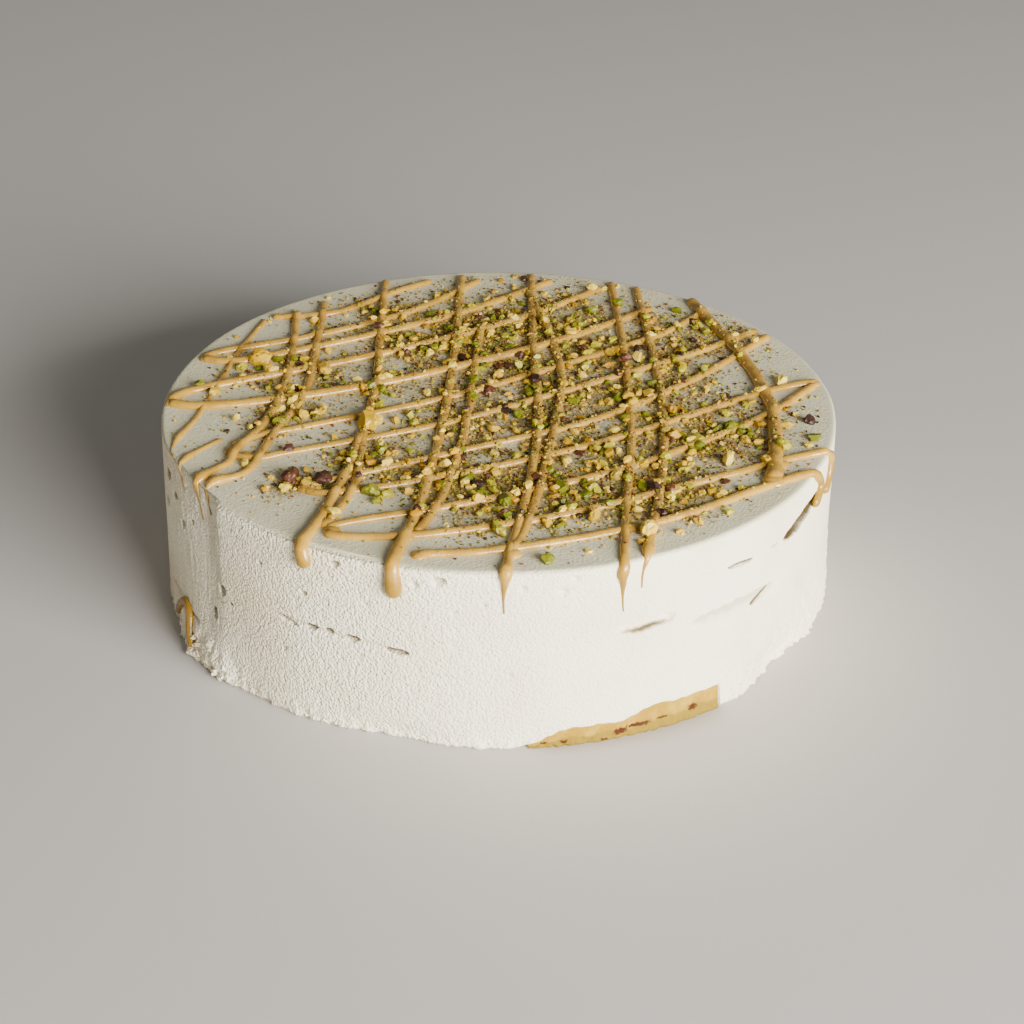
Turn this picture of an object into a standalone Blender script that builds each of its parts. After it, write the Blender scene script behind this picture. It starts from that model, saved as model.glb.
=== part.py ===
"""A round pistachio cake of 20 cm: a cream cake on a thin sponge base, zigzagged with
caramel sauce and strewn with chopped pistachios.

Units are metres, +Z is up and -Y is the front. The origin is the middle of the underside.
"""
import math
import random

import bmesh
import bpy
from mathutils import Matrix, Vector, noise

MM = 0.001

# Driving dimensions of the cake
CAKE_RADIUS = 100 * MM
CAKE_HEIGHT = 56 * MM
RIM_ROUND = 1.4 * MM
FOOT_CLEARANCE = 0.2 * MM
SIDE_WAVE = 0.5 * MM
SIDE_WAVE_LENGTH = 30 * MM

# The sponge base runs through under the cream and comes out at the front right
BASE_RADIUS = 93 * MM
BASE_SHOWN_RADIUS = 99 * MM
BASE_THICKNESS = 9.5 * MM
FIT_GAP = 0.3 * MM
SHOWN_FROM = -88.0
SHOWN_TO = -51.0
SHOWN_HEIGHT = 8 * MM
SHOWN_RISE = 0.6
HEM_BLEND = 12 * MM

# Levels of the base's wall that the shown strip is made from, the crown first, and the
# step in at each end of the strip
BAND_LEVELS = [6.3 * MM, 6 * MM, 3 * MM, 0]
LEVEL_TOLERANCE = 0.1 * MM
END_STEP = 0.1 * MM

# One column of faces each 4 degrees
COLUMNS = 90
SIDE_HEIGHTS = [50 * MM, 41 * MM, 31 * MM, 21 * MM, 12 * MM, 6 * MM]

# Broad lumps and hollows of the side: azimuth, height, half width in degrees,
# half height in mm, and how far it stands out in mm
SIDE_FORMS = [
    (-147, 3, 9, 9, 3.2),
    (-141, 2, 3, 5, 1.2),
    (-107, 1, 8, 5, -2.4),
    (-47, 3, 3, 4, 0.9),
    (-34, 2, 9, 7, -3.6),
    (100, 30, 40, 20, 0.8),
    (20, 40, 25, 20, 0.7),
]

# The side is pressed flat left of an upright ridge, most at the rim
RIDGE_AZIMUTH = -141.0
FLAT_WIDTH = 26.0
FLAT_DEPTH_TOP = 3.6 * MM
FLAT_DEPTH_FOOT = 1.2 * MM

# Torn and pressed places: azimuth, height, length, width and depth in mm, tilt
DENTS = [
    (-65.5, 35.2, 20, 4.0, 1.6, 7),
    (-31.0, 46.4, 20, 3.6, 3.2, 2),
    (-51.5, 32.0, 25, 5.5, 0.8, -6),
]

# Sauce strands are drawn on the cake's skin laid out flat: a point nearer the middle
# than the rim lies on top, and one beyond it hangs on the side by the extra distance.
# Each strand: width, width at its end, and the points it passes, in mm.
ACROSS = [
    (2.9, 3.2, [(-22, -91), (5, -87), (43, -73), (78, -50), (90, -43), (97, -41), (99, -48)]),
    (2.9, 2.8, [(-46, -78), (-43, -81), (-21, -80), (17, -69), (61, -47), (92, -31),
                (101, -31), (104, -38)]),
    (2.7, 2.7, [(-46, -77), (-41, -73), (-9, -62), (36, -41), (77, -9), (96, 14)]),
    (2.7, 2.7, [(-54, -54), (-45, -56), (-10, -44), (31, -24), (79, 8), (97, 16)]),
    (2.6, 2.7, [(-54, -53), (-46, -48), (-12, -31), (27, -11), (59, 17), (85, 49)]),
    (2.7, 2.7, [(-68, -35), (-59, -31), (-16, -13), (20, 9), (58, 34), (82, 53)]),
    (2.7, 2.5, [(-77, -28), (-68, -20), (-56, -15), (-16, 4), (12, 22), (50, 49), (66, 68)]),
    (3.6, 2.5, [(-98, 0), (-88, -2), (-61, 4), (-25, 19), (16, 43), (50, 70)]),
    (3.2, 2.5, [(-98, 1), (-93, 8), (-77, 16), (-40, 33), (2, 58), (34, 86)]),
    (3.2, 2.5, [(-91, 31), (-78, 30), (-41, 48), (-8, 69), (18, 92)]),
    (2.8, 2.5, [(-91, 32), (-84, 37), (-58, 48), (-28, 67), (-6, 92)]),
    (2.6, 2.5, [(-72, 62), (-52, 66), (-34, 82), (-22, 91)]),
]
DOWN = [
    (1.7, 1.2, [(-74, 60), (-80, 38), (-88, -5), (-94, -27), (-93, -34)]),
    (1.6, 1.2, [(-80, -23), (-88, -33), (-92, -41), (-94, -46)]),
    (2.6, 1.4, [(-64, 66), (-64, 20), (-70, -10), (-76, -32), (-83, -46), (-87, -58)]),
    (2.6, 1.4, [(-56, 74), (-57, 20), (-61, -10), (-67, -33), (-75, -47), (-80, -53),
                (-80, -60)]),
    (2.7, 4.6, [(-37, 91), (-37, 43), (-37, 9), (-42, -37), (-48, -68), (-53, -84),
                (-55, -91)]),
    (2.5, 2.8, [(-36, 24), (-39, -17), (-40, -50), (-46, -72)]),
    (2.7, 4.9, [(-12, 95), (-14, 26), (-17, -22), (-22, -65), (-27, -90), (-30, -105)]),
    (2.5, 2.8, [(-5, 60), (-7, 28), (-10, -21), (-16, -60), (-22, -79)]),
    (2.7, 1.2, [(11, 96), (11, 39), (12, -11), (8, -58), (3, -92), (2, -104), (2, -112)]),
    (2.6, 2.6, [(10, 83), (19, 28), (17, -11), (10, -64), (4, -90)]),
    (2.6, 1.2, [(37, 90), (39, 41), (39, -18), (36, -60), (34, -92), (36, -101), (39, -108)]),
    (2.6, 1.2, [(45, 86), (49, 11), (48, -29), (44, -66), (40, -91), (42, -100)]),
    (3.8, 5.2, [(62, 76), (74, 39), (81, 4), (81, -20), (78, -49)]),
]
SAUCE_LIFT = 0.35
STRAIGHT_ENOUGH = 0.6
SAUCE_DRIP_TIP = 0.55

# Chopped nuts: the largest by hand (x, y, length in mm), the rest by a seeded rule
LARGE_NUTS = [
    (-38, -15, 8.5), (0, -78, 6.8), (41, -79, 6.6), (27, -70, 5.4), (49, -55, 4.6),
    (18, -54, 5.4), (26, -53, 4.4), (32, -32, 4.4), (66, -37, 5.8), (77, -35, 4.6),
    (82, -30, 5.4), (92, -22, 5.0), (2, -61, 5.4), (-35, -56, 6.2), (-45, -69, 5.0),
    (-58, -48, 6.8), (-49, -50, 5.4), (-73, 29, 7.0), (-69, 21, 4.6), (-85, 7, 4.2),
    (-53, 23, 5.6), (-62, 10, 4.2), (-65, -4, 4.6), (79, 8, 4.4), (43, 32, 4.6),
    (13, -94, 4.6), (86, 15, 5.2), (51, -22, 4.8), (65, -15, 4.8), (-64, -13, 4.8),
]
NUT_SEED = 20
SHAPE_SEED = 21
NUT_COUNT = 56
NUT_SMALLEST = 2.6
NUT_LARGEST = 4.2
NUT_SPACING = 1.15
NUT_SUNK = 0.30
NUT_JITTER = 0.16
NUT_NARROWEST = 0.6
NUT_WIDEST = 0.85
NUT_THICKNESS = 0.6
NUT_TIP = 0.3
NUT_REACH = 95
STREWN_CENTRE = (14, 2)
STREWN_REACH = (74, 82)

# Points nearer than this are one point
WELD_DISTANCE = 0.001 * MM
SEAM_DISTANCE = 0.01 * MM

CREAM_COLOUR = (0.76, 0.73, 0.64)
CREAM_ROUGHNESS = 0.6
SPONGE_COLOUR = (0.70, 0.51, 0.27)
SPONGE_ROUGHNESS = 0.8


def polar(azimuth, radius, height):
    """The point at this azimuth in degrees, radius and height."""
    angle = math.radians(azimuth)
    return Vector((radius * math.cos(angle), radius * math.sin(angle), height))


def hem_height(azimuth):
    """How high the cream's lower edge is: it lifts where the sponge shows."""
    if not SHOWN_FROM < azimuth < SHOWN_TO:
        return FOOT_CLEARANCE
    along = (azimuth - SHOWN_FROM) / (SHOWN_TO - SHOWN_FROM)
    return FOOT_CLEARANCE + SHOWN_HEIGHT * along ** SHOWN_RISE


def side_form(azimuth, height):
    """How far the side stands out from the plain cylinder, in metres."""
    out = 0.0
    for at, level, half_width, half_height, stand in SIDE_FORMS:
        turn = (azimuth - at + 180) % 360 - 180
        rise = height / MM - level
        out += stand * MM * math.exp(-(turn / half_width) ** 2 - (rise / half_height) ** 2)
    left = (RIDGE_AZIMUTH - azimuth) % 360
    if left < FLAT_WIDTH:
        share = height / CAKE_HEIGHT
        depth = FLAT_DEPTH_FOOT + (FLAT_DEPTH_TOP - FLAT_DEPTH_FOOT) * share ** 2
        out -= depth * (1 - left / FLAT_WIDTH)
    wave = noise.noise(polar(azimuth, CAKE_RADIUS, height) / SIDE_WAVE_LENGTH)
    return out + SIDE_WAVE * wave


def skin(x, y, lift):
    """A point of the flat layout put on the cake, lifted off the skin."""
    azimuth = math.degrees(math.atan2(y, x))
    rim = CAKE_RADIUS + side_form(azimuth, CAKE_HEIGHT)
    past = math.hypot(x, y) * MM - (rim - RIM_ROUND)
    if past <= 0:
        return Vector((x * MM, y * MM, CAKE_HEIGHT + lift))
    arc = RIM_ROUND * math.pi / 2
    if past < arc:
        angle = past / RIM_ROUND
        reach = RIM_ROUND + lift
        return polar(azimuth, rim - RIM_ROUND + reach * math.sin(angle),
                     CAKE_HEIGHT - RIM_ROUND + reach * math.cos(angle))
    height = CAKE_HEIGHT - RIM_ROUND - (past - arc)
    return polar(azimuth, CAKE_RADIUS + side_form(azimuth, height) + lift, height)


def smooth_route(points):
    """The points with a middle one added wherever a smooth curve through them bows out,
    each with its share of the way."""
    ends = [points[0]] + points + [points[-1]]
    spans = len(points) - 1
    route = []
    for span in range(spans):
        before, start, end, after = [Vector(p) for p in ends[span:span + 4]]
        route.append((start, span / spans))
        middle = (9 * (start + end) - before - after) / 16
        if (middle - (start + end) / 2).length > STRAIGHT_ENOUGH:
            route.append((middle, (span + 0.5) / spans))
    route.append((Vector(points[-1]), 1.0))
    return route


def material(name, colour, roughness):
    """A plain Principled finish."""
    finish = bpy.data.materials.new(name)
    finish.use_nodes = True
    shader = finish.node_tree.nodes["Principled BSDF"]
    shader.inputs["Base Color"].default_value = (*colour, 1.0)
    shader.inputs["Roughness"].default_value = roughness
    shader.inputs["Metallic"].default_value = 0.0
    return finish


def add_object(name, mesh, collection):
    """A new object of this mesh in the collection."""
    thing = bpy.data.objects.new(name, mesh)
    collection.objects.link(thing)
    return thing


def fixed_mesh(thing):
    """The object's mesh as its modifiers leave it."""
    graph = bpy.context.evaluated_depsgraph_get()
    return bpy.data.meshes.new_from_object(thing.evaluated_get(graph))


def turned(name, profile, collection):
    """A solid turned about Z from a profile that runs down its outer side, with its flat
    top and underside closed by one face each."""
    mesh = bpy.data.meshes.new(name)
    edges = [(i, i + 1) for i in range(len(profile) - 1)]
    mesh.from_pydata([(radius, 0, height) for radius, height in profile], edges, [])
    thing = add_object(name, mesh, collection)
    screw = thing.modifiers.new("turn", 'SCREW')
    screw.steps = COLUMNS
    screw.render_steps = COLUMNS
    screw.use_merge_vertices = True
    screw.merge_threshold = SEAM_DISTANCE
    thing.data = fixed_mesh(thing)
    thing.modifiers.clear()
    shape = bmesh.new()
    shape.from_mesh(thing.data)
    bmesh.ops.holes_fill(shape, edges=shape.edges[:], sides=COLUMNS)
    shape.to_mesh(thing.data)
    shape.free()
    return thing


def vertex_polar(vertex):
    """A vertex's azimuth in degrees, radius and height."""
    return (math.degrees(math.atan2(vertex.co.y, vertex.co.x)),
            math.hypot(vertex.co.x, vertex.co.y), vertex.co.z)


def cream_body(collection):
    """The cream cake: a turned block, hollow below for the base, with an uneven side."""
    pocket = BASE_RADIUS + FIT_GAP
    ceiling = BASE_THICKNESS + FIT_GAP
    bevel_points = [(CAKE_RADIUS - RIM_ROUND * (1 - math.sin(a)),
                     CAKE_HEIGHT - RIM_ROUND * (1 - math.cos(a)))
                    for a in (0, math.pi / 4, math.pi / 2)]
    profile = bevel_points + [(CAKE_RADIUS, z) for z in SIDE_HEIGHTS]
    profile += [(CAKE_RADIUS, 0), (pocket, 0), (pocket, ceiling)]
    body = turned("cream_cake", profile, collection)
    for vertex in body.data.vertices:
        azimuth, radius, height = vertex_polar(vertex)
        if height < BASE_THICKNESS:
            height += hem_height(round(azimuth, 2)) * (1 - height / HEM_BLEND)
        if radius > CAKE_RADIUS - 2 * RIM_ROUND:
            radius += side_form(azimuth, height)
        vertex.co = polar(azimuth, radius, height)
    return body


def sponge_base(collection):
    """The sponge disc, which swells out flush with the side where it shows."""
    profile = [(BASE_RADIUS, level) for level in [BASE_THICKNESS] + BAND_LEVELS]
    base = turned("sponge_base", profile, collection)
    column = 360 / COLUMNS
    for vertex in base.data.vertices:
        azimuth, radius, height = vertex_polar(vertex)
        azimuth = round(azimuth, 2)
        opened = SHOWN_FROM < azimuth < SHOWN_TO
        if not opened or radius < BASE_RADIUS - MM or height > BAND_LEVELS[0] + MM:
            continue
        crown = hem_height(azimuth) - FIT_GAP
        if height > BAND_LEVELS[1] + LEVEL_TOLERANCE:
            vertex.co.z = crown
            continue
        swollen = SHOWN_FROM + column < azimuth < SHOWN_TO - column
        reach = BASE_SHOWN_RADIUS if swollen else BASE_RADIUS - END_STEP
        vertex.co = polar(azimuth, reach, crown * height / BAND_LEVELS[1])
    return base


def strand(index, width, end_width, points, collection):
    """One sauce strand as a tube along the skin, half sunk in it."""
    curve = bpy.data.curves.new("strand_%02d" % index, 'CURVE')
    curve.dimensions = '3D'
    curve.bevel_depth = 1.0
    curve.bevel_resolution = 1
    curve.use_fill_caps = True
    spline = curve.splines.new('POLY')
    route = smooth_route(points)
    spline.points.add(len(route) - 1)
    for slot, (point, share) in zip(spline.points, route):
        half = (width + (end_width - width) * share ** 4) * MM / 2
        place = skin(point.x, point.y, SAUCE_LIFT * half)
        slot.co = (*place, 1.0)
        slot.radius = half * (SAUCE_DRIP_TIP if share in (0.0, 1.0) else 1.0)
    tube = bpy.data.objects.new("strand_%02d" % index, curve)
    collection.objects.link(tube)
    mesh = fixed_mesh(tube)
    solid = add_object("strand_solid_%02d" % index, weld(mesh), collection)
    solid.matrix_world = tube.matrix_world
    bpy.data.objects.remove(tube)


def weld(mesh):
    """Joins the loose caps of a tube to its wall."""
    shape = bmesh.new()
    shape.from_mesh(mesh)
    bmesh.ops.remove_doubles(shape, verts=shape.verts[:], dist=WELD_DISTANCE)
    bmesh.ops.recalc_face_normals(shape, faces=shape.faces[:])
    shape.to_mesh(mesh)
    shape.free()
    return mesh


def strewn(x, y):
    """How thickly nuts lie here: full round the middle, thinning towards the rim."""
    across = (x - STREWN_CENTRE[0]) / STREWN_REACH[0]
    along = (y - STREWN_CENTRE[1]) / STREWN_REACH[1]
    return max(0.0, 1.0 - (across ** 2 + along ** 2) ** 2)


def nut_places():
    """Where each nut lies and how long it is: the hand-placed ones, then the rule's."""
    draw = random.Random(NUT_SEED)
    places = list(LARGE_NUTS)
    while len(places) < len(LARGE_NUTS) + NUT_COUNT:
        x, y = draw.uniform(-NUT_REACH, NUT_REACH), draw.uniform(-NUT_REACH, NUT_REACH)
        size = NUT_SMALLEST + (NUT_LARGEST - NUT_SMALLEST) * draw.random() ** 2
        if draw.random() > strewn(x, y):
            continue
        if all(math.hypot(x - a, y - b) > NUT_SPACING * (size + c) / 2 for a, b, c in places):
            places.append((x, y, size))
    return places


def nut(index, x, y, size, draw, collection):
    """One chopped nut: a chunk of a few uneven facets, pressed into the top."""
    shape = bmesh.new()
    bmesh.ops.create_icosphere(shape, subdivisions=1, radius=0.5)
    for vertex in shape.verts:
        vertex.co *= 1 + draw.uniform(-NUT_JITTER, NUT_JITTER)
    long, high = size * MM, size * NUT_THICKNESS * MM
    wide = size * draw.uniform(NUT_NARROWEST, NUT_WIDEST) * MM
    bmesh.ops.scale(shape, vec=(long, wide, high), verts=shape.verts)
    turn = Matrix.Rotation(draw.uniform(0, math.tau), 4, 'Z')
    tip = Matrix.Rotation(draw.uniform(-NUT_TIP, NUT_TIP), 4, 'X')
    bmesh.ops.transform(shape, matrix=turn @ tip, verts=shape.verts)
    place = (x * MM, y * MM, CAKE_HEIGHT + (0.5 - NUT_SUNK) * high)
    bmesh.ops.translate(shape, vec=place, verts=shape.verts)
    mesh = bpy.data.meshes.new("nut_%03d" % index)
    shape.to_mesh(mesh)
    shape.free()
    add_object("nut_%03d" % index, mesh, collection)


def dent(index, azimuth, height, length, width, depth, tilt, collection):
    """A cutter for a torn place: a flat egg half out of the side."""
    shape = bmesh.new()
    bmesh.ops.create_uvsphere(shape, u_segments=12, v_segments=6, radius=1.0)
    half = (length / 2 * MM, depth * MM, width / 2 * MM)
    bmesh.ops.scale(shape, vec=half, verts=shape.verts)
    lean = Matrix.Rotation(math.radians(tilt), 4, 'Y')
    face = Matrix.Rotation(math.radians(azimuth + 90), 4, 'Z')
    bmesh.ops.transform(shape, matrix=face @ lean.inverted(), verts=shape.verts)
    level = height * MM
    radius = CAKE_RADIUS + side_form(azimuth, level)
    bmesh.ops.translate(shape, vec=polar(azimuth, radius, level), verts=shape.verts)
    mesh = bpy.data.meshes.new("dent_%02d" % index)
    shape.to_mesh(mesh)
    shape.free()
    add_object("dent_%02d" % index, mesh, collection)


def join(body, collection, operation):
    """Applies one Boolean with all the collection's objects, which are then removed."""
    boolean = body.modifiers.new("join", 'BOOLEAN')
    boolean.operation = operation
    boolean.operand_type = 'COLLECTION'
    boolean.collection = collection
    boolean.solver = 'EXACT'
    body.data = fixed_mesh(body)
    body.modifiers.clear()
    for thing in list(collection.objects):
        bpy.data.objects.remove(thing)


def keep_outer_shell(thing):
    """Fills the hollows that fusing sealed and drops loose scraps: only the largest
    connected skin is kept."""
    shape = bmesh.new()
    shape.from_mesh(thing.data)
    unseen = set(shape.faces)
    shells = []
    while unseen:
        shell, front = set(), [unseen.pop()]
        while front:
            face = front.pop()
            shell.add(face)
            touching = {other for edge in face.edges for other in edge.link_faces} & unseen
            unseen -= touching
            front.extend(touching)
        shells.append(shell)
    for shell in sorted(shells, key=len)[:-1]:
        bmesh.ops.delete(shape, geom=list(shell), context='FACES')
    shape.to_mesh(thing.data)
    shape.free()


def new_collection(name):
    """A collection in the scene."""
    collection = bpy.data.collections.new(name)
    bpy.context.scene.collection.children.link(collection)
    return collection


for old in list(bpy.data.objects):
    bpy.data.objects.remove(old)

cake = new_collection("Pistachio cake")
toppings = new_collection("Toppings")
cutters = new_collection("Cutters")

cream = cream_body(cake)
base = sponge_base(cake)

for number, (start_width, last_width, passes) in enumerate(ACROSS + DOWN):
    strand(number, start_width, last_width, passes, toppings)
shaping = random.Random(SHAPE_SEED)
for number, (at_x, at_y, nut_size) in enumerate(nut_places()):
    nut(number, at_x, at_y, nut_size, shaping, toppings)
for number, form in enumerate(DENTS):
    dent(number, *form, cutters)

join(cream, cutters, 'DIFFERENCE')
join(cream, toppings, 'UNION')
keep_outer_shell(cream)

cream.data.materials.clear()
cream.data.materials.append(material("cream", CREAM_COLOUR, CREAM_ROUGHNESS))
base.data.materials.append(material("sponge", SPONGE_COLOUR, SPONGE_ROUGHNESS))
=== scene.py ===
import math
import random

import bmesh
import bpy
import numpy
from mathutils import Matrix, Vector, noise
from mathutils.bvhtree import BVHTree
from mathutils.kdtree import KDTree


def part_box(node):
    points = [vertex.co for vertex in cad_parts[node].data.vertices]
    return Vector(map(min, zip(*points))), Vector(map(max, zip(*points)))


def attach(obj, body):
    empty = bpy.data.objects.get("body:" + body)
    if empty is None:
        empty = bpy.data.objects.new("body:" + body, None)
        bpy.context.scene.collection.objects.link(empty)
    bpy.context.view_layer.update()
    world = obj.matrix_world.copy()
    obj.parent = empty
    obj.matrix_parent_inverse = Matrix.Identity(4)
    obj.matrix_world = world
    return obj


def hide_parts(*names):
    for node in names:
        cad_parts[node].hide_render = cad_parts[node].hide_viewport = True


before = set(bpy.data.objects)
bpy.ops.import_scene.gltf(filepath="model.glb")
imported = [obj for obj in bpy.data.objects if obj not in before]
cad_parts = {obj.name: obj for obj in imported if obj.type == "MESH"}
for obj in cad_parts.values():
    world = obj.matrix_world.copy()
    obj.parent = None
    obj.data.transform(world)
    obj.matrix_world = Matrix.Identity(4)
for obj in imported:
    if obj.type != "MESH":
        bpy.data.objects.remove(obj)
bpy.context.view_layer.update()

# The cream cake: a block of set cream, moulded in a straight-sided ring 20 cm across
# and pushed out. Its top was struck off level. Its side is porous, torn in places,
# pressed flat at the left, and ragged where it met the board.
MM = 0.001
CAKE_RADIUS = 100 * MM
CAKE_HEIGHT = 56 * MM
RIM_ROUND = 0.9 * MM
POCKET_RADIUS = 93.3 * MM
POCKET_HEIGHT = 9.8 * MM
FOOT_CLEARANCE = 0.2 * MM
SHOWN_FROM = -88
SHOWN_TO = -51
HEM_BLEND = 12 * MM

# The cream's lower edge over the shown sponge: azimuth and height in mm
HEM = [
    (-88, 0.0), (-84.5, 1.0), (-82, 3.3), (-79.9, 4.9), (-77.8, 5.5), (-73.9, 5.5),
    (-70, 5.0), (-68, 6.2), (-66, 7.6), (-63.5, 8.2), (-61, 7.8), (-56.5, 7.7), (-51, 7.4),
]

# Azimuth, height, half width in degrees, half height in mm, stand-out in mm
SIDE_FORMS = [
    (-147, 3, 9, 9, 3.2), (-141, 2, 3, 5, 1.2), (-107, 1, 8, 5, -2.4),
    (-47, 3, 3, 4, 0.9), (-34, 2, 9, 7, -3.6), (100, 30, 40, 20, 0.8),
    (20, 40, 25, 20, 0.7),
]
SIDE_WAVE = 0.5 * MM
SIDE_WAVE_LENGTH = 30 * MM
RIDGE_AZIMUTH = -141
FLAT_WIDTH = 26
FLAT_EDGE = 5
FLAT_DEPTH_TOP = 3.6 * MM
FLAT_DEPTH_FOOT = 1.2 * MM

# Torn and pressed places: azimuth, height, length, width and depth in mm, tilt in degrees,
# and how much painted shade they get inside: above 0 under the upper lip, below 0 at the lower
TEARS = [
    (-66, 35.6, 19, 5.6, 1.8, 3, -0.48),
    (-30.3, 46.2, 23.5, 6.4, 2.6, 12, 1),
    (-48, 31.4, 36, 6, 0.9, 0, 0.22),
    (-42.4, 30.2, 9.5, 1.4, 0.9, 21, 0.60),
    (-47.8, 44.4, 11, 2.2, 0.9, -4, 0.50),
    (-39.3, 44, 4, 1, 0.6, -5, 0.40),
    (-117.5, 30.6, 44, 2.4, 0.6, -2, 0.16),
    (-125.5, 30.4, 9, 1.6, 1, -12, 0.35),
    (-120.6, 30.9, 4.2, 2.8, 1.4, 0, 0.52),
    (-117.4, 31.2, 3, 2.8, 1.4, 0, 0.52),
    (-113.2, 30.7, 4.8, 3, 1.4, -4, 0.50),
    (-105.7, 29.3, 7, 2.8, 1.4, -5, 0.50),
    (-141.1, 29.1, 4.4, 5, 1.2, 0, 0.36),
    (-143.9, 19.6, 4, 6, 1.2, 0, 0.38),
    (-163.3, 48.5, 5, 4.5, 1.4, 0, 0.60),
    (-159.2, 44.5, 4, 3, 1.2, 0, 0.50),
    (-155.7, 38.5, 3.6, 4, 1.2, 0, 0.30),
    (-165.5, 38, 6, 5, 1.2, 0, 0.30),
    (-157, 11.5, 31, 2.6, 1.5, 0, 0.25),
    (150, 30, 16, 2.4, 1.4, 4, 0.40),
    (112, 24, 22, 3, 1.2, -3, 0.30),
    (64, 36, 14, 2.4, 1.5, 5, 0.45),
    (18, 27, 18, 3.2, 1.3, -5, 0.30),
]
# Burst bubbles: azimuth, height, width in mm, and how much painted shade they get inside
PITS = [
    (-116, 53, 3.2, 0.32), (-121.9, 40.9, 2.4, 0.34), (-107.6, 47.2, 2, 0.22),
    (-111, 42.9, 1.8, 0.22), (-99, 52.8, 4, 0.26), (-102.8, 51, 2.6, 0.22),
    (-96.7, 43.4, 1.8, 0.18), (-79.9, 49.6, 2.8, 0.16), (-77.9, 53.2, 2.6, 0.16),
    (-43.4, 7.2, 2.8, 0.16), (-51.9, 18.6, 1.8, 0.14), (-45.5, 19.7, 1.6, 0.14),
    (-36.5, 10.9, 2.2, 0.16), (-138.4, 26.3, 1.8, 0.75), (-151.7, 42.1, 2.6, 0.45),
    (-131, 45, 1.8, 0.30), (-126, 21, 1.8, 0.28), (-88, 24, 1.6, 0.18),
    (-92, 46, 2, 0.16), (-86, 51, 2.2, 0.16), (176, 40, 2.4, 0.30),
    (131, 46, 3, 0.30), (84, 20, 2.2, 0.25), (40, 48, 2.6, 0.25),
    (3, 40, 2, 0.20),
]
TEARS += [(at, level, size, size * 0.8, size * 0.35, 0, dark) for at, level, size, dark in PITS]
TEAR_LIP = 0.55
TEAR_WANDER = 0.25
TEAR_WANDER_LENGTH = 2.2
TEAR_WALL = 2.6
SHADE_WALL = 3.5
UNDER_UPPER_LIP = (1.1, 0.8)
AT_LOWER_LIP = (-0.8, -2.2)
CLEAR_SHADE = 0.3
FINER_MARGIN = 1.0

# The skin's fine relief: bumps of a few mm, pores under them, and streaks left by the
# ring on the pressed side; it is roughest at the front left and smoother to the right
ROUGHEST_AZIMUTH = -126
ROUGHEST_HALF = 40
ROUGH_LEAST = 0.5
ROUGH_MORE = 0.6
BUMP_LENGTH = 2.2 * MM
BUMP_DEPTH = 0.06 * MM
PORE_LENGTH = 1.4 * MM
PORE_DEPTH = 0.08 * MM
STREAK_WIDTH = 1.3 * MM
STREAK_LENGTH = 12 * MM
STREAK_DEPTH = 0.34 * MM
RAGGED_HEIGHT = 5 * MM
RAGGED_DEPTH = 1.0 * MM
RAGGED_LENGTH = 3.5 * MM
RAGGED_GRAINY = 0.6
HEM_RAGGED = 0.45 * MM
HEM_WAVE = 0.3 * MM
HEM_WAVE_LENGTH = 3 * MM
HEM_WAVES_ABOVE = 1.0
TEETH_AZIMUTH = -22
TEETH_HALF = 26
TEETH_HEIGHT = 28 * MM
TEETH_DEPTH = 1.3 * MM
TEETH_LENGTH = 1.9 * MM
LUMP_AZIMUTH = -151
LUMP_HALF = 12
LUMP_HEIGHT = 13 * MM
LUMP_DEPTH = 3.0 * MM
LUMP_LENGTH = 3.6 * MM
LUMP_GRAIN = 1.3 * MM
LUMP_GRAINY = 0.25
HARDLY = 0.01
TOP_WAVE = 0.08 * MM
TOP_WAVE_LENGTH = 9 * MM
RIM_GRAIN = 0.22 * MM
RIM_GRAIN_WIDTH = 1.6 * MM

# The rim is worn round at the front left, where its corner crumbled
WORN_AZIMUTH = -124
WORN_HALF = 17
WORN_WIDTH = 3.6 * MM
WORN_DEPTH = 1.0 * MM

# Columns of faces crowd towards the front, where the skin is seen closest
CAKE_COLUMNS = 840
FRONT_CROWDING = 0.36
SIDE_STEP = 0.62 * MM
TOP_STEP = 3.4 * MM
RIM_WIDTH = 7 * MM
MERGE_GAP = 0.001 * MM


def polar(azimuth, radius, height):
    """The point at this azimuth in degrees, radius and height."""
    angle = math.radians(azimuth)
    return Vector((radius * math.cos(angle), radius * math.sin(angle), height))


def turn_between(azimuth, other):
    """The turn in degrees from one azimuth to another, the short way."""
    return (azimuth - other + 180) % 360 - 180


def along_side(azimuth, other):
    """How far along the side one azimuth lies from another, in mm."""
    return math.radians(turn_between(azimuth, other)) * CAKE_RADIUS / MM


def nearness(azimuth, middle, half_width):
    """1 at the middle azimuth, falling smoothly away to both sides."""
    return math.exp(-(turn_between(azimuth, middle) / half_width) ** 2)


def hem_height(azimuth):
    """How high the cream's lower edge is: it lifts where the sponge shows."""
    place = polar(azimuth, CAKE_RADIUS, 0)
    foot = FOOT_CLEARANCE + abs(HEM_RAGGED * noise.noise(place / RAGGED_LENGTH))
    if not SHOWN_FROM < azimuth < SHOWN_TO:
        return foot
    lift = 0.0
    for (start, low), (end, high) in zip(HEM, HEM[1:]):
        if start <= azimuth < end:
            share = (azimuth - start) / (end - start)
            lift = low + (high - low) * share ** 2 * (3 - 2 * share)
    if lift > HEM_WAVES_ABOVE:
        foot += HEM_WAVE * noise.noise(place / HEM_WAVE_LENGTH)
    return foot + lift * MM


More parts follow.
